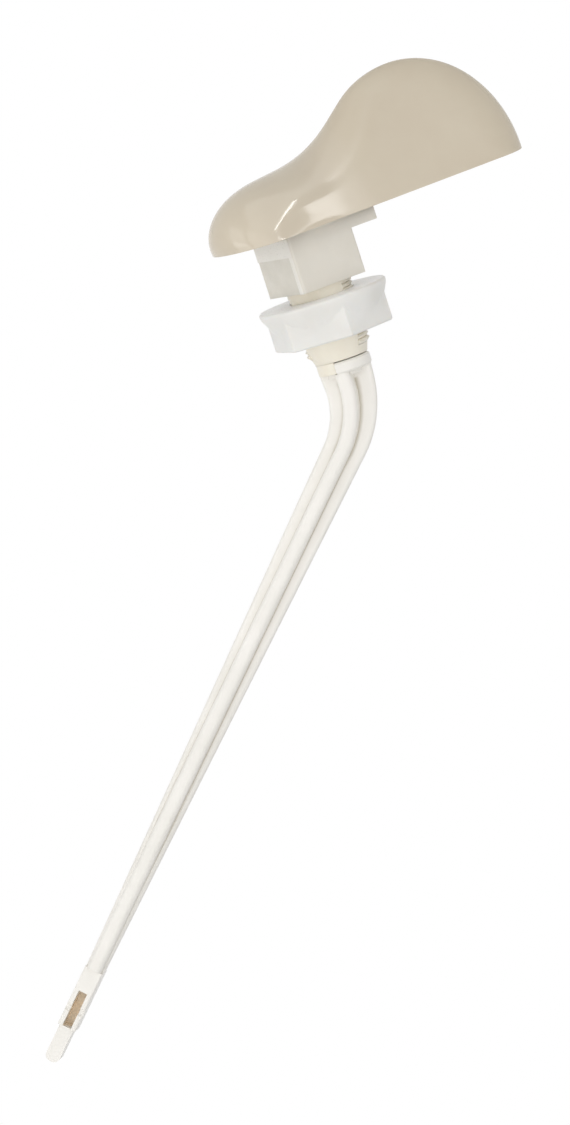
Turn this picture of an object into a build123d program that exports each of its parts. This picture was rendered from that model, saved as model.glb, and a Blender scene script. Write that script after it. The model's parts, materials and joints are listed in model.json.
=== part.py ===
"""Front-mount cistern trip lever: handle, square mounting block, threaded bushing, lock nut and lever arm.

Millimetres. X runs to the user's right, Y into the tank along the shank, Z up.
The origin is on the shank axis, in the plane where the block's flange sits on the tank wall.
"""
import os
from math import acos, atan2, cos, hypot, pi, radians, sin, sqrt

from build123d import *

# Driving sizes
SHANK_DIA = 15.9          # over the thread crests, 5/8 in
BLOCK_SIDE = 17.5         # square boss that stands in the tank wall's hole
BOSS_DEPTH = 11.0         # from the wall seat to the boss's end
SHANK_REACH = 18.2        # of the threaded shank past the boss
RIM_STANDOFF = 3.4        # of the handle's rim from the tank wall
HANDLE_WALL = 2.2
ARM_DROOP = 42.0          # degrees the arm hangs below the horizontal at rest
ARM_BEND = 43.3           # degrees the arm leaves the shank axis by
TRAVEL = 35.0             # degrees from rest to the end of the flush stroke

# Clearances
SLIDE_FIT = 0.08          # radial, of the spindle in the bushing
FIXED_FIT = 0.04          # radial, of pieces that are clamped together
THREAD_FIT = 0.06         # radial, of the nut on the thread crests
END_PLAY = 0.25           # axial, at each end of the bushing
STOP_GAP = 1.0            # degrees between the stop faces at rest and at full stroke

# Mounting block
FLANGE_THICK = 3.1
TAB_REACH = 7.5           # the flange reaches past the boss on the grip side
COLLAR_DIA = 19.4
COLLAR_HEIGHT = 1.7
BLOCK_ROUND = 0.8
PANEL_DEPTH = 0.55        # shallow panel sunk in the boss's nose side
PANEL_START = 1.8
PANEL_EDGE = 6.6          # of the panel's upper side above the shank axis
KEY_WIDTH = 3.0
KEY_RADIUS = 9.9

# Threaded bushing
HEAD_THICK = 2.2
HEAD_BEVEL = 0.6
SPINDLE_DIA = 9.0
TAPER_LENGTH = 4.6        # the shank's end is coned for starting the nut
TAPER_DEPTH = 1.5
LUG_LENGTH = 2.8
LUG_SPAN = 70.0
LUG_START = 50.5          # degrees from +Z toward +X

# Lock nut
NUT_FLATS = 26.0
NUT_FLANGE_DIA = 31.5
NUT_RIM_THICK = 1.2
NUT_SLOPE = 5.4           # length over which the flange narrows into the flats
NUT_HEIGHT = 10.3
NUT_BACK_OFF = 2.5        # from the boss's end to the nut, as it is photographed
NUT_TURN = 14.0           # degrees, the way the photographed nut is turned
NUT_ROUND = 0.6           # along the hexagon's corners
NUT_BEVEL = 0.4

# Lever arm
SQUARE_SIDE = 6.2         # square end of the spindle, pressed into the handle
SQUARE_LENGTH = 6.5
SECTOR_RADIUS = 6.7
SECTOR_BEVEL = 0.4
BEND_REACH = 14.8         # from the bushing's end to the bend's corner
BEND_RADIUS = 23.0
WEB_THICK = 2.4
WEB_WIDTHS = (13.3, 10.0, 4.8)    # at the root, after the bend and at the chain end
WEB_ROUND = 1.1
RIB_WIDTH = 3.6
RIB_HEIGHTS = (12.6, 9.0, 8.0)
RIB_ROUND = 1.4
TIP_START = 149.8         # of the chain end, along the straight from the bend's corner
TIP_LENGTH = 15.6
ROD_LENGTH = 9.3
ROD_THICK = 5.0
ROD_ROUND = 1.6
TIP_WIDTH = 4.7
TIP_THICK = 6.2
TIP_ROUND = 0.5
SLOT_WIDTH = 2.25
SLOT_LENGTH = 9.6
SLOT_FLOOR = 1.2
CROSS_GROOVE_DIA = 1.8

# Handle, seen from the front
RIM_NOSE_X = 12.0         # where the rim's sides pass into its nose
RIM_GRIP_X = -53.0        # where they pass into its grip end
RIM_NOSE_HALF = 13.8
RIM_GRIP_HALF = 10.4
# Handle, seen from above: bulge, neck, nose and tip arcs, each tangent to the next
GRIP_HEIGHT = 29.8
BULGE_X = -36.2
BULGE_RADIUS = 27.2
NECK_RADIUS = 33.0
NOSE_HEIGHT = 15.2
NOSE_ARC_X = -4.0
NOSE_ARC_RADIUS = 72.5
TIP_ARC_RADIUS = 9.5
NOSE_END_X = 22.6
# Handle's cross sections
RIDGE_HALF = 4.0          # half the ridge's breadth over the bulge
ROUND_SHARE = 0.55        # curve handles of a quarter ellipse
WALL_LEAN = 0.62          # share of the way to the ridge that a bulge wall's curve handle leans
BULGE_SHIFT = 1.6         # moves the sharpest section from mid length toward the grip
ARCH_COUNT = 15
HUB_DIA = 13.0
HUB_CLEAR = 0.3
GUSSET_THICK = 1.6
GUSSET_REACH = 15.0
GUSSET_SETBACK = 1.5

# Derived levels along the shank
WALL_SEAT_Y = 0.0
RIM_Y = WALL_SEAT_Y - RIM_STANDOFF
FLANGE_TOP_Y = WALL_SEAT_Y - FLANGE_THICK
COLLAR_TOP_Y = FLANGE_TOP_Y - COLLAR_HEIGHT
HEAD_TOP_Y = COLLAR_TOP_Y - HEAD_THICK
HUB_END_Y = HEAD_TOP_Y - HUB_CLEAR
BOSS_END_Y = WALL_SEAT_Y + BOSS_DEPTH
NUT_TOP_Y = BOSS_END_Y + NUT_BACK_OFF
BUSHING_END_Y = BOSS_END_Y + SHANK_REACH
LUG_END_Y = BUSHING_END_Y + LUG_LENGTH
SECTOR_TOP_Y = BUSHING_END_Y + END_PLAY
SECTOR_END_Y = LUG_END_Y + END_PLAY
BEND_CORNER_Y = BUSHING_END_Y + BEND_REACH

# Other derived sizes
BORE_RADIUS = SPINDLE_DIA / 2 + SLIDE_FIT
LUG_RADIUS = SHANK_DIA / 2 - TAPER_DEPTH - FIXED_FIT
SECTOR_SPAN = 360.0 - LUG_SPAN - TRAVEL - 2 * STOP_GAP
TIP_END = TIP_START + TIP_LENGTH
BULGE_CENTRE = (BULGE_X, GRIP_HEIGHT - BULGE_RADIUS)
NOSE_CENTRE = (NOSE_ARC_X, NOSE_HEIGHT - NOSE_ARC_RADIUS)

ALONG_Y = Rot(-90, 0, 0)
LAP = 1.0                 # how far joined features run into each other


def drum(radius, start, end):
    """A cylinder on the shank axis between two levels."""
    rod = Cylinder(radius, end - start, align=(Align.CENTER, Align.CENTER, Align.MIN))
    return Pos(0, start, 0) * ALONG_Y * rod


def sector(radius, start, end, first, span):
    """A slice of a cylinder on the shank axis, from first degrees off +Z toward +X."""
    slice_ = Cylinder(radius, end - start, arc_size=span, align=Align.NONE)
    return Pos(0, start, 0) * ALONG_Y * Rot(0, 0, first - 90.0) * slice_


def slab(x_range, y_range, z_range):
    """A box given by its ranges."""
    ranges = (x_range, y_range, z_range)
    low = [low for low, high in ranges]
    size = [high - low for low, high in ranges]
    return Pos(*low) * Box(*size, align=Align.MIN)


def key(grow, start, end):
    """The bushing's key, in the block's corner, grown on every side for its keyway."""
    half = KEY_WIDTH / 2 + grow
    return Rot(0, -45, 0) * slab((SHANK_DIA / 2 - LAP, KEY_RADIUS + grow), (start, end), (-half, half))


def mounting_block():
    """Square boss with a tabbed flange, a round collar and a bore with a keyway."""
    half = BLOCK_SIDE / 2
    nose_side = half + PANEL_DEPTH
    boss = slab((-half, nose_side), (FLANGE_TOP_Y, BOSS_END_Y), (-half, half))
    boss = fillet(boss.edges().filter_by(Axis.Y), BLOCK_ROUND)
    tab = slab((-half - TAB_REACH, 0), (FLANGE_TOP_Y, WALL_SEAT_Y), (-half, half))
    tab = fillet(tab.edges().filter_by(Axis.Y).group_by(Axis.X)[0], BLOCK_ROUND)
    panel = slab((half, nose_side + LAP), (WALL_SEAT_Y + PANEL_START, BOSS_END_Y), (-half, PANEL_EDGE))
    collar = drum(COLLAR_DIA / 2, COLLAR_TOP_Y, FLANGE_TOP_Y)
    bore = drum(SHANK_DIA / 2 + FIXED_FIT, COLLAR_TOP_Y, BOSS_END_Y)
    keyway = key(FIXED_FIT, COLLAR_TOP_Y, BOSS_END_Y)
    return boss + tab + collar - panel - bore - keyway


def threaded_bushing():
    """Headed sleeve with a coned end, a key and a stop lug; its thread crests are a plain cylinder."""
    shank = drum(SHANK_DIA / 2, COLLAR_TOP_Y, BUSHING_END_Y)
    end_edge = shank.edges().sort_by(Axis.Y)[-1]
    end_face = shank.faces().sort_by(Axis.Y)[-1]
    shank = chamfer(end_edge, TAPER_DEPTH, TAPER_LENGTH, reference=end_face)
    head = drum(COLLAR_DIA / 2, HEAD_TOP_Y, COLLAR_TOP_Y)
    head = chamfer(head.edges().group_by(Axis.Y)[0], HEAD_BEVEL)
    lug = sector(LUG_RADIUS, BUSHING_END_Y - LAP, LUG_END_Y, LUG_START, LUG_SPAN)
    body = shank + head + lug + key(0.0, COLLAR_TOP_Y, BOSS_END_Y)
    return body - drum(BORE_RADIUS, HEAD_TOP_Y, LUG_END_Y)


def lock_nut():
    """Hexagon nut with a round flange that slopes into its flats."""
    rim_end = NUT_TOP_Y + NUT_RIM_THICK
    slope_end = rim_end + NUT_SLOPE
    radius = NUT_FLANGE_DIA / 2
    rim = [(0, NUT_TOP_Y), (radius, NUT_TOP_Y), (radius, rim_end)]
    slope = [(NUT_FLATS / 2, slope_end), (0, slope_end)]
    flange = revolve(make_face(Polyline(*rim, *slope, close=True)), Axis.Y)
    flange = chamfer(flange.edges().filter_by(GeomType.CIRCLE).sort_by(Axis.Y)[:2], NUT_BEVEL)
    hexagon = RegularPolygon(NUT_FLATS / 2, 6, major_radius=False, rotation=NUT_TURN - 90.0)
    wrench = Pos(0, NUT_TOP_Y + LAP, 0) * ALONG_Y * extrude(hexagon, NUT_HEIGHT - LAP)
    wrench = fillet(wrench.edges().filter_by(Axis.Y), NUT_ROUND)
    wrench = chamfer(wrench.edges().group_by(Axis.Y)[-1], NUT_BEVEL)
    return flange + wrench - drum(SHANK_DIA / 2 + THREAD_FIT, NUT_TOP_Y, NUT_TOP_Y + NUT_HEIGHT)


def arm_path():
    """Centreline of the arm in its own plane: along the shank, round the bend, out to the chain end."""
    lean = radians(ARM_BEND)
    tip = (TIP_START * sin(lean), BEND_CORNER_Y + TIP_START * cos(lean))
    return FilletPolyline((0, SECTOR_TOP_Y), (0, BEND_CORNER_Y), tip, radius=BEND_RADIUS)


def arm_bar(heights, widths, rounding):
    """A rounded bar along the arm, tapered round the bend and again to the chain end.

    Its heights stand out of the arm's plane and its widths lie in it.
    """
    root, bend, straight = arm_path().edges()
    places = ((root, 0), (straight, 0), (straight, 1))
    sections = []
    for (leg, at), height, width in zip(places, heights, widths):
        plane = Plane(origin=leg @ at, x_dir=(0, 0, 1), z_dir=leg % at)
        sections.append(plane * RectangleRounded(height, width, rounding))
    curved = sweep(sections[:2], path=Wire([root, bend]), multisection=True)
    return curved + loft(sections[1:])


def arm_tip():
    """The slotted chain end and its rounded rod, along +Y from the bend's corner."""
    half_rib = RIB_WIDTH / 2
    half_thick = TIP_THICK / 2
    block = slab((-TIP_WIDTH / 2, TIP_WIDTH / 2), (TIP_START, TIP_END), (-half_thick, half_thick))
    block = fillet(block.edges().filter_by(Axis.Y), TIP_ROUND)
    rod_range = (TIP_END - LAP, TIP_END + ROD_LENGTH)
    rod = slab((-half_rib, half_rib), rod_range, (-ROD_THICK / 2, ROD_THICK / 2))
    rod = fillet(rod.edges().filter_by(Axis.Z).group_by(Axis.Y)[-1], ROD_ROUND)
    slot_range = (TIP_END - SLOT_LENGTH, TIP_END)
    slot = slab((-SLOT_WIDTH / 2, SLOT_WIDTH / 2), slot_range, (SLOT_FLOOR - half_thick, half_thick + LAP))
    groove = Pos(0, TIP_END - SLOT_LENGTH / 2, half_thick) * Rot(0, 90, 0)
    groove = groove * Cylinder(CROSS_GROOVE_DIA / 2, TIP_WIDTH + LAP)
    return block + rod - slot - groove


def lever_arm():
    """Spindle with a square end, stop sector, cross-ribbed bent arm and chain tip in one moulding."""
    web = arm_bar((WEB_THICK,) * 3, WEB_WIDTHS, WEB_ROUND)
    rib = arm_bar(RIB_HEIGHTS, (RIB_WIDTH,) * 3, RIB_ROUND)
    bar = web + rib + Pos(0, BEND_CORNER_Y, 0) * Rot(0, 0, -ARM_BEND) * arm_tip()
    notch_start = LUG_START - STOP_GAP
    notch = sector(SHANK_DIA / 2, SECTOR_TOP_Y, SECTOR_END_Y, notch_start, 360.0 - SECTOR_SPAN)
    stop = sector(SECTOR_RADIUS, SECTOR_TOP_Y, SECTOR_END_Y, notch_start - SECTOR_SPAN, SECTOR_SPAN)
    stop = chamfer(stop.edges().filter_by(GeomType.CIRCLE), SECTOR_BEVEL)
    spindle = drum(SPINDLE_DIA / 2, HEAD_TOP_Y, SECTOR_END_Y + LAP)
    return Rot(0, ARM_DROOP, 0) * bar - notch + stop + spindle + square_end()


def square_end():
    """The spindle's square end, which also shapes the handle's socket."""
    half = SQUARE_SIDE / 2
    return slab((-half, half), (HUB_END_Y - SQUARE_LENGTH, HEAD_TOP_Y + LAP), (-half, half))


def toward(start, end, distance):
    """The point at a distance from start toward end."""
    length = hypot(end[0] - start[0], end[1] - start[1])
    share = distance / length
    return start[0] + (end[0] - start[0]) * share, start[1] + (end[1] - start[1]) * share


def arc_about(centre, radius, start, end):
    """The short arc of a circle between two of its points."""
    chord_middle = ((start[0] + end[0]) / 2, (start[1] + end[1]) / 2)
    return ThreePointArc(start, toward(centre, chord_middle, radius), end)


def neck_centre():
    """Centre of the neck arc, outside the handle, tangent to the bulge arc and the nose arc."""
    from_bulge = BULGE_RADIUS + NECK_RADIUS
    from_nose = NOSE_ARC_RADIUS + NECK_RADIUS
    across, rise = NOSE_CENTRE[0] - BULGE_CENTRE[0], NOSE_CENTRE[1] - BULGE_CENTRE[1]
    apart = hypot(across, rise)
    turn = acos((from_bulge**2 + apart**2 - from_nose**2) / (2 * from_bulge * apart))
    angle = atan2(rise, across) + turn
    return BULGE_CENTRE[0] + from_bulge * cos(angle), BULGE_CENTRE[1] + from_bulge * sin(angle)


def ridge_line(inset):
    """The handle's outline from above, in x and height over the rim, from nose to grip, moved in by inset."""
    neck = neck_centre()
    tip_x = NOSE_END_X - TIP_ARC_RADIUS
    tip_rise = sqrt((NOSE_ARC_RADIUS - TIP_ARC_RADIUS) ** 2 - (tip_x - NOSE_CENTRE[0]) ** 2)
    tip_height = NOSE_CENTRE[1] + tip_rise
    tip_radius = TIP_ARC_RADIUS - inset
    nose_radius = NOSE_ARC_RADIUS - inset
    bulge_radius = BULGE_RADIUS - inset
    tip_start = (tip_x + tip_radius, tip_height)
    nose_start = toward(NOSE_CENTRE, (tip_x, tip_height), nose_radius)
    neck_start = toward(NOSE_CENTRE, neck, nose_radius)
    bulge_start = toward(BULGE_CENTRE, neck, bulge_radius)
    bulge_top = (BULGE_CENTRE[0], BULGE_CENTRE[1] + bulge_radius)
    grip_end = (BULGE_CENTRE[0] - sqrt(bulge_radius**2 - BULGE_CENTRE[1] ** 2), 0)
    return Wire([
        Line((tip_start[0], 0), tip_start),
        arc_about((tip_x, tip_height), tip_radius, tip_start, nose_start),
        arc_about(NOSE_CENTRE, nose_radius, nose_start, neck_start),
        arc_about(neck, NECK_RADIUS + inset, neck_start, bulge_start),
        ThreePointArc(bulge_start, bulge_top, grip_end),
    ])


def handle_arch(ridge, along, inset):
    """One cross section, rim to rim over the ridge: a round arch at both ends, a leaning one at the bulge."""
    top = ridge @ along
    rim_x = RIM_NOSE_X + (RIM_GRIP_X - RIM_NOSE_X) * along
    half = RIM_NOSE_HALF + (RIM_GRIP_HALF - RIM_NOSE_HALF) * along - inset
    sharpness = sin(pi * along**BULGE_SHIFT) ** 2
    ridge_half = RIDGE_HALF - inset
    shoulder = ROUND_SHARE * half + sharpness * (ridge_half - ROUND_SHARE * half)
    wall = half - sharpness * WALL_LEAN * (half - ridge_half)

    def at(z, share):
        return Vector(rim_x + (top.X - rim_x) * share, RIM_Y - top.Y * share, z)

    near = Bezier(at(half, 0), at(wall, ROUND_SHARE), at(shoulder, 1), at(0, 1))
    far = Bezier(at(0, 1), at(-shoulder, 1), at(-wall, ROUND_SHARE), at(-half, 0))
    return make_face([near, far, Line(at(-half, 0), at(half, 0))])


def handle_form(inset):
    """The handle's solid form, moved in by inset, through arches that fan out from nose to grip."""
    ridge = ridge_line(inset)
    return loft([handle_arch(ridge, i / (ARCH_COUNT - 1), inset) for i in range(ARCH_COUNT)])


def handle():
    """Shell with a hub for the spindle's square end and four gussets."""
    shell = handle_form(0.0) - handle_form(HANDLE_WALL)
    ceiling_y = RIM_Y - GRIP_HEIGHT
    half = GUSSET_THICK / 2
    gusset_range = (ceiling_y, HUB_END_Y - GUSSET_SETBACK)
    along = slab((-GUSSET_REACH, GUSSET_REACH), gusset_range, (-half, half))
    across = slab((-half, half), gusset_range, (-GUSSET_REACH, GUSSET_REACH))
    inside = handle_form(HANDLE_WALL / 2)
    return shell + ((drum(HUB_DIA / 2, ceiling_y, HUB_END_Y) + along + across) & inside) - square_end()


PARTS = {
    "handle": handle,
    "mounting_block": mounting_block,
    "threaded_bushing": threaded_bushing,
    "lock_nut": lock_nut,
    "lever_arm": lever_arm,
}

os.makedirs("parts", exist_ok=True)
for name, make in PARTS.items():
    export_step(make(), f"parts/{name}.step")
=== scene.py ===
# A front-mount cistern trip lever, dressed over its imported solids, in metres.
import json
import math

import bpy
from mathutils import Matrix, Vector

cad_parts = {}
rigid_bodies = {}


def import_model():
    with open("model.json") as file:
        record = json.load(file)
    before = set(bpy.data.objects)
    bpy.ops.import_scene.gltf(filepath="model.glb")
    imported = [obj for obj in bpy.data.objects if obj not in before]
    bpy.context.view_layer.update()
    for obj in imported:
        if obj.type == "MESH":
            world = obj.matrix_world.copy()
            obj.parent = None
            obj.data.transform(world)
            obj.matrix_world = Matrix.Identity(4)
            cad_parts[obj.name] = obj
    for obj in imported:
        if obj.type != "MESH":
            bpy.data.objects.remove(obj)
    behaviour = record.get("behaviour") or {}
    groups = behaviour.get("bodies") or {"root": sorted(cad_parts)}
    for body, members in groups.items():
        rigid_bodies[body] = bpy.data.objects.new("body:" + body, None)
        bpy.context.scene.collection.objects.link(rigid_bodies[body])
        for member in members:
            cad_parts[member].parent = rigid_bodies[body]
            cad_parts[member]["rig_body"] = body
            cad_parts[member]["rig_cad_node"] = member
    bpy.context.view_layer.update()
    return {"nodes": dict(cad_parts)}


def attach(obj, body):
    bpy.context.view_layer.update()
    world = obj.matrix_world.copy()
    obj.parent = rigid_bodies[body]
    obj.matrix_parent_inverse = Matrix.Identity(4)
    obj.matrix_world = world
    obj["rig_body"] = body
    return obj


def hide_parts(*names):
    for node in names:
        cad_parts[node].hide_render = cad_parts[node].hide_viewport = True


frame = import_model()

# Mounting block: the square boss that stands in the tank wall's hole, with a tab on the grip side.
# It is moulded in off-white polypropylene, and its edges come out of the mould slightly rounded.
# The bushing goes through it and holds it by its collar.
MM = 0.001


def linear(code):
    """An sRGB hex colour as linear RGBA."""
    channels = [int(code[i:i + 2], 16) / 255 for i in (1, 3, 5)]
    return [c / 12.92 if c <= 0.04045 else ((c + 0.055) / 1.055) ** 2.4 for c in channels] + [1.0]


def add_node(tree, kind, settings=None, links=None):
    """Adds a node: settings go to its sockets or properties, links join its sockets to other outputs."""
    node = tree.nodes.new(kind)
    for name, value in (settings or {}).items():
        if name in node.inputs:
            node.inputs[name].default_value = value
        else:
            setattr(node, name, value)
    for socket, (source, output) in (links or {}).items():
        tree.links.new(source.outputs[output], node.inputs[socket])
    return node


def blank_material(name):
    """A new material with an empty node tree."""
    material = bpy.data.materials.new(name)
    material.use_nodes = True
    material.node_tree.nodes.clear()
    return material


# Blender's noise seldom leaves this range.
NOISE_LOW, NOISE_HIGH = 0.3, 0.7
# The grain makes a plastic this much smoother and rougher from spot to spot.
SMOOTHER, ROUGHER = 0.88, 1.14


def moulded_plastic(name, light, dark, roughness, flow_mm, grain_mm=0.35, bump_mm=0.04, glow=0.0):
    """Moulded plastic: faint flow marks in its colour, a fine grain from the mould, and a little glow.

    The real grain is too fine to show, so it is drawn as coarse as the render needs.
    """
    material = blank_material(name)
    tree = material.node_tree
    place = add_node(tree, "ShaderNodeTexCoord")
    flow = add_node(
        tree, "ShaderNodeTexNoise",
        {"Scale": 1 / (flow_mm * MM), "Detail": 3.0, "Roughness": 0.55}, {"Vector": (place, "Object")},
    )
    tint = add_node(tree, "ShaderNodeValToRGB", links={"Fac": (flow, "Fac")})
    for stop, position, colour in zip(tint.color_ramp.elements, (NOISE_LOW, NOISE_HIGH), (dark, light)):
        stop.position = position
        stop.color = linear(colour)
    grain = add_node(
        tree, "ShaderNodeTexNoise",
        {"Scale": 1 / (grain_mm * MM), "Detail": 2.0, "Roughness": 0.5}, {"Vector": (place, "Object")},
    )
    polish = add_node(
        tree, "ShaderNodeMapRange",
        {
            "From Min": NOISE_LOW, "From Max": NOISE_HIGH,
            "To Min": roughness * SMOOTHER, "To Max": roughness * ROUGHER,
        },
        {"Value": (grain, "Fac")},
    )
    skin = add_node(
        tree, "ShaderNodeBump", {"Strength": 0.25, "Distance": bump_mm * MM}, {"Height": (grain, "Fac")}
    )
    shader = add_node(
        tree, "ShaderNodeBsdfPrincipled",
        {
            "IOR": 1.5, "Subsurface Weight": glow,
            "Subsurface Scale": 1.0 * MM, "Subsurface Radius": (1.0, 0.8, 0.6),
        },
        {"Base Color": (tint, "Color"), "Roughness": (polish, "Result"), "Normal": (skin, "Normal")},
    )
    add_node(tree, "ShaderNodeOutputMaterial", links={"Surface": (shader, "BSDF")})
    return material


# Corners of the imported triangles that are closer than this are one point.
JOIN_GAP = 0.002 * MM
# Faces that meet at less than the first angle are one flat, and at more than the second an edge.
FLAT_ANGLE, EDGE_ANGLE = math.radians(0.5), math.radians(35)


def merged_copy(cad_node, name, body, materials, edge=0.0):
    """A copy of a CAD node as one joined mesh that takes its place.

    Its edges are rounded to a breadth where one is given, and the last material covers them.
    """
    bpy.ops.object.select_all(action="DESELECT")
    source = frame["nodes"][cad_node]
    source.select_set(True)
    bpy.context.view_layer.objects.active = source
    bpy.ops.object.duplicate()
    piece = bpy.context.view_layer.objects.active
    piece.name = name
    piece.data.name = name
    # The copy is a piece of its own, so the marks of a CAD node come off it.
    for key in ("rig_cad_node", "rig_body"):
        if key in piece:
            del piece[key]
    piece.parent = None
    bpy.ops.object.mode_set(mode="EDIT")
    bpy.ops.mesh.select_all(action="SELECT")
    bpy.ops.mesh.remove_doubles(threshold=JOIN_GAP)
    if edge:
        bpy.ops.mesh.dissolve_limited(angle_limit=FLAT_ANGLE)
    bpy.ops.object.mode_set(mode="OBJECT")
    bpy.ops.mesh.customdata_custom_splitnormals_clear()
    piece.data.materials.clear()
    for material in materials:
        piece.data.materials.append(material)
    if edge:
        soften = piece.modifiers.new("soft_edges", "BEVEL")
        soften.width = edge
        soften.segments = 2
        soften.limit_method = "ANGLE"
        soften.angle_limit = EDGE_ANGLE
        soften.material = len(materials) - 1
        bpy.ops.object.modifier_apply(modifier=soften.name)
    bpy.ops.object.shade_smooth_by_angle(angle=EDGE_ANGLE)
    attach(piece, body)
    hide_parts(cad_node)
    return piece


def paint(piece, material, chosen):
    """Gives another material to the faces of a piece that a test picks."""
    if material.name not in piece.data.materials:
        piece.data.materials.append(material)
    slot = piece.data.materials.find(material.name)
    for face in piece.data.polygons:
        if chosen(face):
            face.material_index = slot


# Polypropylene is waxy and lets light a little way in, so its faces look soft and its shadows pale.
polypropylene = moulded_plastic(
    "off_white_polypropylene", "#dcd7cd", "#d7d2c7", roughness=0.42, flow_mm=9.0, glow=0.15
)
# Painted light: the edges and the panel's border are paler, and smoother. Painted shade: the panel is
# darker, and rougher.
polypropylene_highlight = moulded_plastic(
    "polypropylene_painted_highlight", "#ece9e2", "#e6e3da", roughness=0.3, flow_mm=9.0, glow=0.15
)
polypropylene_shade = moulded_plastic(
    "polypropylene_painted_shade", "#e0dcd2", "#d8d4c9", roughness=0.55, flow_mm=4.0, glow=0.15
)
# The rounded edges take the paler material: a painted highlight along them.
block = merged_copy("mounting_block", "block", "mount", (polypropylene, polypropylene_highlight), edge=0.2 * MM)
PANEL_NEAR, PANEL_FAR = 8.2 * MM, 8.8 * MM
# A face looks along an axis where that part of its normal is more than this.
SQUARE_ON = 0.95
# The left face outside the panel is painted paler: painted light.
paint(block, polypropylene_highlight, lambda face: face.normal.x > SQUARE_ON and face.center.x > PANEL_NEAR)
# The panel's floor is painted darker: painted shade in the recess.
paint(block, polypropylene_shade, lambda face: face.normal.x > SQUARE_ON and PANEL_NEAR < face.center.x < PANEL_FAR)

# Threaded bushing: a sleeve that the spindle turns in, headed inside the handle and keyed to the block.
# It is moulded in cream acetal, a hard and slippery plastic with a satin sheen.
# Its coned end carries a stop lug, and its thread is on two sides only.
acetal = moulded_plastic(
    "cream_acetal", "#f0eadb", "#ebe4d4", roughness=0.38, flow_mm=6.0, grain_mm=0.3, glow=0.1
)
bushing = merged_copy("threaded_bushing", "bushing", "mount", (acetal,), edge=0.15 * MM)

# Thread: short ridges in a recess down two opposite sides of the bushing, part of the same moulding.
# The strips between the two sides stay smooth, as where a mould opens in two halves.
CREST, ROOT, PITCH, TURNS = 7.95 * MM, 7.35 * MM, 1.15 * MM, 13
THREAD_START, THREAD_SPAN = 11.77 * MM, math.radians(66)
# The recess is cut from its floor out past the crests, and the ridges go on below the floor.
RECESS_DEEP, SUNK = 2.0 * MM, 0.35 * MM
ARC_STEPS = 24


def settle():
    """Puts the active object's place, turn and scale into its mesh."""
    bpy.ops.object.transform_apply(location=True, rotation=True, scale=True)


def cut_away(piece, cutter):
    """Takes a cutter's shape out of a piece, and deletes the cutter."""
    bpy.context.view_layer.objects.active = piece
    saw = piece.modifiers.new("cut", "BOOLEAN")
    saw.operation = "DIFFERENCE"
    saw.object = cutter
    bpy.ops.object.modifier_apply(modifier=saw.name)
    bpy.data.objects.remove(cutter)


def thread_side(facing, first):
    """Recesses the side of the bushing that faces an angle about its axis, and makes the ridges in it."""
    length = TURNS * PITCH
    bpy.ops.object.select_all(action="DESELECT")
    bpy.ops.mesh.primitive_plane_add(size=1.0, location=(ROOT + RECESS_DEEP / 2, first + length / 2, 0))
    recess = bpy.context.object
    recess.scale = (RECESS_DEEP, length, 1)
    settle()
    bpy.ops.object.mode_set(mode="EDIT")
    bpy.ops.mesh.select_all(action="SELECT")
    bpy.ops.mesh.spin(steps=ARC_STEPS, angle=-THREAD_SPAN, center=(0, 0, 0), axis=(0, 1, 0))
    bpy.ops.mesh.select_all(action="SELECT")
    bpy.ops.mesh.remove_doubles(threshold=JOIN_GAP)
    bpy.ops.mesh.normals_make_consistent(inside=False)
    bpy.ops.object.mode_set(mode="OBJECT")
    recess.rotation_euler.y = facing - THREAD_SPAN / 2
    settle()
    cut_away(bushing, recess)
    # A ridge is a triangle, one pitch wide at the recess's floor, turned along the thread.
    bpy.ops.object.select_all(action="DESELECT")
    bpy.ops.mesh.primitive_circle_add(
        vertices=3, radius=PITCH / math.sqrt(3), rotation=(0, 0, -math.pi / 2)
    )
    ridge = bpy.context.object
    depth = CREST - ROOT + SUNK
    ridge.scale.x = depth / (CREST - ROOT)
    ridge.scale.y = depth / (PITCH * math.sqrt(3) / 2)
    ridge.location = (CREST - depth * 2 / 3, first + PITCH / 2, 0)
    settle()
    turn = ridge.modifiers.new("turn", "SCREW")
    turn.axis = "Y"
    turn.angle = THREAD_SPAN
    turn.screw_offset = PITCH * THREAD_SPAN / math.tau
    turn.steps = turn.render_steps = ARC_STEPS
    bpy.ops.object.modifier_apply(modifier=turn.name)
    bpy.ops.object.mode_set(mode="EDIT")
    bpy.ops.mesh.select_all(action="SELECT")
    bpy.ops.mesh.fill_holes(sides=0)
    bpy.ops.mesh.select_all(action="SELECT")
    bpy.ops.mesh.normals_make_consistent(inside=False)
    bpy.ops.object.mode_set(mode="OBJECT")
    repeat = ridge.modifiers.new("repeat", "ARRAY")
    repeat.count = TURNS
    repeat.use_relative_offset = False
    repeat.use_constant_offset = True
    repeat.constant_offset_displace = (0, PITCH, 0)
    bpy.ops.object.modifier_apply(modifier=repeat.name)
    ridge.rotation_euler.y = facing - THREAD_SPAN / 2
    settle()
    return ridge


# The ridges of one side lie half a pitch on from those of the other, as on one thread.
other_side = thread_side(math.radians(-135), THREAD_START)
thread = thread_side(math.radians(45), THREAD_START + PITCH / 2)
other_side.select_set(True)
bpy.ops.object.join()
thread.name = thread.data.name = "thread"
thread.data.materials.append(acetal)
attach(thread, "mount")

# Lever arm: spindle, stop sector, cross-ribbed arm and chain end in one white ABS moulding.
# The spindle runs through the bushing, and its square end is pressed into the handle's hub.
# ABS lets no light in and takes the mould's finish, so the arm is an even white with a soft sheen.
white_abs = moulded_plastic("white_abs", "#f1eee8", "#ebe8e1", roughness=0.33, flow_mm=14.0)
arm = merged_copy("lever_arm", "arm", "lever", (white_abs,))
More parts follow.
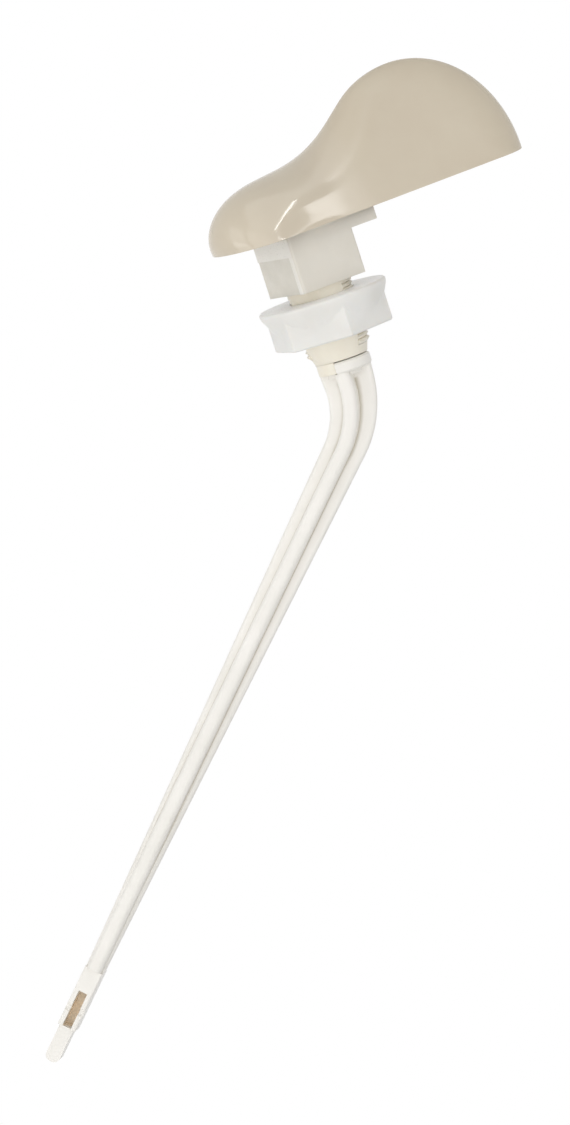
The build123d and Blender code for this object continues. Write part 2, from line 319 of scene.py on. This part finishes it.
# The chain slot's walls are painted tan: painted bounce light and shade in the deep slot.
abs_painted_tan_bounce = moulded_plastic(
    "abs_painted_tan_bounce", "#fcefdb", "#f7e5cb", roughness=0.55, flow_mm=3.0, grain_mm=0.3
)
DROOP, BEND = math.radians(42.0), math.radians(43.3)
arm_out = Vector((math.sin(DROOP), 0, math.cos(DROOP)))
arm_run = Vector((math.sin(BEND) * math.cos(DROOP), math.cos(BEND), -math.sin(BEND) * math.sin(DROOP)))
arm_across = arm_run.cross(arm_out)
SLOT_MIDDLE = Vector((0.08185, 0.16088, -0.0737))
SLOT_HALF_BREADTH, SLOT_HALF_LENGTH = 1.2 * MM, 4.9 * MM
SLOT_MOUTH, SLOT_FLOOR = -0.05 * MM, -5.1 * MM


def in_slot(face):
    """Whether a face of the arm is one of the chain slot's."""
    offset = face.center - SLOT_MIDDLE
    beside, along, deep = (offset.dot(way) for way in (arm_across, arm_run, arm_out))
    within = abs(beside) < SLOT_HALF_BREADTH and abs(along) < SLOT_HALF_LENGTH
    return within and SLOT_FLOOR < deep < SLOT_MOUTH


# The slot's faces take the tan: painted bounce light and shade.
paint(arm, abs_painted_tan_bounce, in_slot)
# Painted shade darkens the grooves beside the rib, deepest in the hollow corners that run along the arm.
GROOVE_START = 33.8 * MM
# A corner is sharp where the cosine between its two faces is below this.
SHARP = 0.7
# A corner runs along the arm, bend and all, where its way has less than these parts out and across.
PART_OUT, PART_ACROSS = 0.3, 0.75
# The painted shade fades out at this share of the way from a groove's far edge to its corner.
SHADE_STARTS, GROOVE_SHADE_COLOUR = 0.55, "#cac4b6"
edge_faces = {}
for face in arm.data.polygons:
    for edge in face.edge_keys:
        edge_faces.setdefault(edge, []).append(face)
groove_shade = arm.data.attributes.new("groove_shade", "FLOAT", "POINT")
for edge, faces in edge_faces.items():
    one, other = faces[0], faces[-1]
    near, far = (arm.data.vertices[point].co for point in edge)
    way = (far - near).normalized()
    hollow = one.normal.dot(other.normal) < SHARP and one.normal.dot(other.center - one.center) > 0
    lengthwise = abs(way.dot(arm_out)) < PART_OUT and abs(way.dot(arm_across)) < PART_ACROSS
    if hollow and lengthwise and min(near.y, far.y) > GROOVE_START:
        for point in edge:
            groove_shade.data[point].value = 1.0
# The arm's colour is mixed toward the painted shade colour along the marked corners.
arm_tree = white_abs.node_tree
corner = add_node(arm_tree, "ShaderNodeAttribute", {"attribute_name": "groove_shade"})
shade_fade = add_node(
    arm_tree, "ShaderNodeMapRange",
    {"interpolation_type": "SMOOTHSTEP", "From Min": SHADE_STARTS}, {"Value": (corner, "Fac")},
)
shaded_base = add_node(
    arm_tree, "ShaderNodeMixRGB", {"Color2": linear(GROOVE_SHADE_COLOUR)},
    {"Fac": (shade_fade, "Result"), "Color1": (arm_tree.nodes["Color Ramp"], "Color")},
)
arm_tree.links.new(shaded_base.outputs["Color"], arm_tree.nodes["Principled BSDF"].inputs["Base Color"])

# Handle: a hollow paddle with a high bulge for the thumb, moulded in bone ABS in a polished mould.
# It is pressed on the spindle's square end and turns with the arm.
# The polish gives it clear reflections over an even colour.
NECK_ROUGHNESS, GRIP_ROUGHNESS = 0.09, 0.265
NECK_SHINE, GRIP_SHINE = 0.5, 0.15
bone_abs = moulded_plastic(
    "bone_abs", "#cfc4b0", "#ccc0ac", NECK_ROUGHNESS, flow_mm=11.0, grain_mm=0.5, bump_mm=0.004
)
merged_copy("handle", "paddle", "lever", (bone_abs,))
# The hollow of the neck would mirror the strip lamp twice. So that the line on the nose stays single, the
# polish falls off toward the grip, in place of an even one. It isn't wear that the photograph shows.
handle_tree = bone_abs.node_tree
handle_tree.nodes.remove(handle_tree.nodes["Map Range"])
spot = add_node(handle_tree, "ShaderNodeTexCoord")
spot_axes = add_node(handle_tree, "ShaderNodeSeparateXYZ", links={"Vector": (spot, "Object")})
for socket, grip_x, neck_x, grip, neck in (
    ("Roughness", -9.5 * MM, -3.0 * MM, GRIP_ROUGHNESS, NECK_ROUGHNESS),
    ("Specular IOR Level", -18.0 * MM, -8.0 * MM, GRIP_SHINE, NECK_SHINE),
):
    fall = add_node(
        handle_tree, "ShaderNodeMapRange",
        {
            "interpolation_type": "SMOOTHSTEP",
            "From Min": grip_x, "From Max": neck_x, "To Min": grip, "To Max": neck,
        },
        {"Value": (spot_axes, "X")},
    )
    handle_tree.links.new(fall.outputs["Result"], handle_tree.nodes["Principled BSDF"].inputs[socket])

# Lock nut: a flanged hexagon nut on the bushing's thread, which clamps the tank wall from inside.
# It is moulded in white nylon, which lets light a little way in, so that its shadows stay pale.
nylon = moulded_plastic(
    "white_nylon", "#e8e7e3", "#e3e1dc", roughness=0.4, flow_mm=8.0, grain_mm=0.3, glow=0.25
)
# Painted light: the edges and the flange's seat are paler, and smoother.
nylon_painted_highlight = moulded_plastic(
    "nylon_painted_highlight", "#f4f3f1", "#efeeeb", roughness=0.3, flow_mm=8.0, grain_mm=0.3, glow=0.25
)
# The rounded edges take the paler material: a painted highlight along them.
nut = merged_copy("lock_nut", "nut", "nut", (nylon, nylon_painted_highlight), edge=0.2 * MM)
# The flange's seat is painted paler where little light reaches it: painted light.
paint(nut, nylon_painted_highlight, lambda face: face.normal.y < -SQUARE_ON)

# Studio floor: a sheet of matt white paper, well below the lever, as for a catalogue picture.
# It shows plain white, and its own pale matt face takes the light and the shadow.
FLOOR_SIZE, FLOOR_HEIGHT = 6.0, -0.35
WHITE, PAPER = linear("#ffffff"), linear("#eaeaea")


def shows_white(tree):
    """A node whose value is 1 for the rays that show a background: camera, glossy and transmission rays."""
    ray = add_node(tree, "ShaderNodeLightPath")
    shown = add_node(
        tree, "ShaderNodeMath", {"operation": "MAXIMUM"},
        {0: (ray, "Is Camera Ray"), 1: (ray, "Is Glossy Ray")},
    )
    return add_node(
        tree, "ShaderNodeMath", {"operation": "MAXIMUM"},
        {0: (shown, "Value"), 1: (ray, "Is Transmission Ray")},
    )


bpy.ops.object.select_all(action="DESELECT")
bpy.ops.mesh.primitive_plane_add(size=FLOOR_SIZE, location=(0, 0, FLOOR_HEIGHT))
floor = bpy.context.object
floor.name = "floor"
paper = blank_material("white_paper")
floor_tree = paper.node_tree
matt = add_node(floor_tree, "ShaderNodeBsdfDiffuse", {"Color": PAPER})
bright = add_node(floor_tree, "ShaderNodeEmission", {"Color": WHITE, "Strength": 1.0})
floor_cover = add_node(
    floor_tree, "ShaderNodeMixShader",
    links={0: (shows_white(floor_tree), "Value"), 1: (matt, "BSDF"), 2: (bright, "Emission")},
)
add_node(floor_tree, "ShaderNodeOutputMaterial", links={"Surface": (floor_cover, "Shader")})
floor.data.materials.append(paper)

# Light tent: white cloth all round, which shows plain white behind the lever.
# Its light is strongest from past the arm's end and falls to none from the handle's side.
TENT_STRENGTH = 0.54
world = bpy.data.worlds.new("studio")
bpy.context.scene.world = world
world.use_nodes = True
tent_tree = world.node_tree
tent_tree.nodes.clear()
way_out = add_node(tent_tree, "ShaderNodeTexCoord")
way_axes = add_node(tent_tree, "ShaderNodeSeparateXYZ", links={"Vector": (way_out, "Generated")})
strength = add_node(
    tent_tree, "ShaderNodeMapRange",
    {"From Min": -1.0, "From Max": 1.0, "To Min": 0.0, "To Max": TENT_STRENGTH}, {"Value": (way_axes, "Y")},
)
cloth = add_node(tent_tree, "ShaderNodeBackground", {"Color": WHITE}, {"Strength": (strength, "Result")})
backdrop = add_node(tent_tree, "ShaderNodeBackground", {"Color": WHITE, "Strength": 1.0})
tent_cover = add_node(
    tent_tree, "ShaderNodeMixShader",
    links={0: (shows_white(tent_tree), "Value"), 1: (cloth, "Background"), 2: (backdrop, "Background")},
)
add_node(tent_tree, "ShaderNodeOutputWorld", links={"Surface": (tent_cover, "Shader")})

# Camera: the photograph's view, from above and a little to the nose side, with the handle uppermost.
# It stands far off with a long lens, so that near and far parts keep one scale.
YAW, DIP, ROLL = math.radians(29.5), math.radians(5.5), math.radians(17.7)
toward_camera = Vector((math.cos(DIP) * math.sin(YAW), -math.sin(DIP), math.cos(DIP) * math.cos(YAW)))
level = Vector((-math.cos(YAW), 0, math.sin(YAW)))
upright = (Vector((0, -1, 0)) - math.sin(DIP) * toward_camera) / math.cos(DIP)
right = math.cos(ROLL) * level - math.sin(ROLL) * upright
up = math.sin(ROLL) * level + math.cos(ROLL) * upright
# The middle of the picture lies left of this point on the shank, and below it.
SHANK_POINT = Vector((0, 0.0142, 0))
MIDDLE_LEFT, MIDDLE_BELOW = 0.00893, 0.06295
middle = SHANK_POINT - MIDDLE_LEFT * right - MIDDLE_BELOW * up
FRAME_HEIGHT, CAMERA_AWAY = 0.26775, 6.0
CLIP_NEAR, CLIP_FAR = 0.1, 30.0
bpy.ops.object.camera_add()
camera = bpy.context.object
picture = Matrix((right, up, toward_camera)).transposed()
camera.matrix_world = picture.to_4x4()
camera.location = middle + CAMERA_AWAY * toward_camera
camera.data.sensor_fit = "AUTO"
# The picture is upright, so the sensor's longer side goes with its height.
camera.data.lens = camera.data.sensor_width * CAMERA_AWAY / FRAME_HEIGHT
camera.data.clip_start, camera.data.clip_end = CLIP_NEAR, CLIP_FAR
bpy.context.scene.camera = camera

# Lamps: soft boxes round the lever and a narrow strip, all facing the middle of the picture.
# Their places, and which way their length runs, go by right, up and toward the camera.


def soft_light(name, place, along, breadth, length, watts):
    """A soft box that faces the lever."""
    back = (picture @ Vector(place)).normalized()
    side = (picture @ Vector(along)).cross(back).normalized()
    bpy.ops.object.light_add(type="AREA")
    lamp = bpy.context.object
    lamp.name = name
    lamp.matrix_world = Matrix((side, back.cross(side), back)).transposed().to_4x4()
    lamp.location = middle + picture @ Vector(place)
    lamp.data.shape = "RECTANGLE"
    lamp.data.size = breadth
    lamp.data.size_y = length
    lamp.data.energy = watts


# Each box's name, place, way of its length, breadth, length and watts.
BOXES = (
    ("front_box", (0.0, 0.0, 1.5), (0, 1, 0), 2.2, 2.2, 16.0),
    ("nose_box", (-1.2, 0.0, 0.4), (0, 1, 0), 1.3, 1.3, 5.8),
    ("low_box", (-1.0, -0.8, 0.4), (0, 1, 0), 1.2, 1.2, 5.0),
    ("arm_box", (1.2, -0.3, 0.5), (0, 1, 0), 0.9, 0.9, 2.6),
    ("top_box", (0.0, 1.2, 0.6), (1, 0, 0), 1.2, 1.2, 4.2),
    # The pale patch by the handle's rim is the reflection of this one.
    ("grip_box", (1.11, 0.97, 0.57), (-0.64, 0.73, -0.24), 0.16, 0.69, 1.9),
)
for box in BOXES:
    soft_light(*box)
# The bright line on the nose is the strip's reflection. The strip is bent in five lengths so that the line
# is straight, and the bends are given as directions from the nose.
NOSE = Vector((0.001, 0.084, 0.016))
STRIP_AWAY, STRIP_BREADTH, WATTS_PER_METRE = 1.5, 0.045, 2.3
BENDS = (
    (0.298, 0.672, 0.674), (0.340, 0.694, 0.634), (0.388, 0.735, 0.556),
    (0.412, 0.788, 0.457), (0.431, 0.826, 0.364), (0.406, 0.878, 0.253),
)
for number, (start, end) in enumerate(zip(BENDS, BENDS[1:])):
    run = STRIP_AWAY * (Vector(end) - Vector(start))
    place = NOSE + STRIP_AWAY * (Vector(start) + Vector(end)).normalized()
    soft_light(f"strip_{number}", place, run, STRIP_BREADTH, run.length, WATTS_PER_METRE * run.length)

bpy.context.scene.view_settings.view_transform = "Standard"
